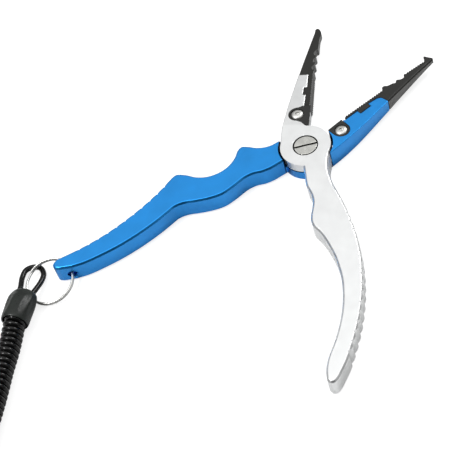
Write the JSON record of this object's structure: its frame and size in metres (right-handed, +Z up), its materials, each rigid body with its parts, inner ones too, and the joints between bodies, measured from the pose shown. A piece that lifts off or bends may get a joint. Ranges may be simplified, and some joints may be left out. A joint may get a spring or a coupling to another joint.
{
  "type": "fishing pliers",
  "caption": "Aluminium fishing pliers with replaceable jaw inserts, side line cutters, a split ring and a coiled lanyard ending in a snap hook",
  "frame": {"origin": "on the pivot axis, at the underside of the pivot nut, which is level with the underside of both frames", "axes": "+Z up along the pivot axis; +X along the blue jaw's grip line towards its tip; +Y towards the silver jaw"},
  "size_m": [0.3019, 0.1908, 0.012],
  "materials": {
    "blue_anodised": "satin blue anodised",
    "silver_anodised": "fine satin clear anodised",
    "black_steel": "dark satin coated hardened steel",
    "stainless": "bright turned stainless steel",
    "bronze": "plain bronze",
    "hook_nickel": "nickel plated",
    "black_plastic": "glossy black"
  },
  "bodies": {
    "blue_half": {"blue_frame": "blue_anodised", "blue_jaw_insert": "black_steel", "blue_insert_screw": "stainless", "blue_cutter_blade": "black_steel", "blue_cutter_screw": "stainless", "pivot_nut": "stainless", "pivot_screw": "stainless", "lap_washer": "bronze"},
    "silver_half": {"silver_frame": "silver_anodised", "silver_jaw_insert": "black_steel", "silver_insert_screw": "stainless", "silver_cutter_blade": "black_steel", "silver_cutter_screw": "stainless"},
    "ring": {"split_ring": "stainless"},
    "lanyard": {"lanyard_near_loop": "black_plastic", "lanyard_near_sleeve": "black_plastic", "lanyard_coil": "black_plastic", "lanyard_far_sleeve": "black_plastic", "lanyard_far_loop": "black_plastic"},
    "swivel_eye": {"hook_swivel_eye": "hook_nickel"},
    "snap_hook": {"hook_body": "hook_nickel", "hook_gate_pin": "stainless", "hook_gate_spring": "stainless"},
    "gate": {"hook_gate": "hook_nickel"}
  },
  "joints": [
    {"name": "pliers_pivot", "type": "hinge", "parent": "blue_half", "child": "silver_half", "pos_m": [0, 0, 0.00475], "axis": [0, 0, 1], "range_deg": [-42.8, 0]},
    {"name": "ring_swing", "type": "hinge", "parent": "blue_half", "child": "ring", "pos_m": [-0.10985, 0.0301, 0.0047], "axis": [0.2323, 0.9726, 0], "range_deg": [-90, 90]},
    {"name": "lanyard_swing", "type": "hinge", "parent": "ring", "child": "lanyard", "pos_m": [-0.1183, 0.0426, 0.0041], "axis": [0.9905, -0.1378, 0], "range_deg": [-60, 0]},
    {"name": "eye_swing", "type": "hinge", "parent": "lanyard", "child": "swivel_eye", "pos_m": [-0.2225, -0.0981, 0.0039], "axis": [1, 0, 0], "range_deg": [-35, 35]},
    {"name": "hook_swivel", "type": "hinge", "parent": "swivel_eye", "child": "snap_hook", "pos_m": [-0.2225, -0.1083, 0.0039], "axis": [0, 1, 0], "continuous": true},
    {"name": "gate_hinge", "type": "hinge", "parent": "snap_hook", "child": "gate", "pos_m": [-0.2192, -0.1151, 0.0039], "axis": [0, 0, 1], "range_deg": [-14, 0], "stiffness_Nm_per_rad": 0.01, "springref_deg": 20.05}
  ]
}
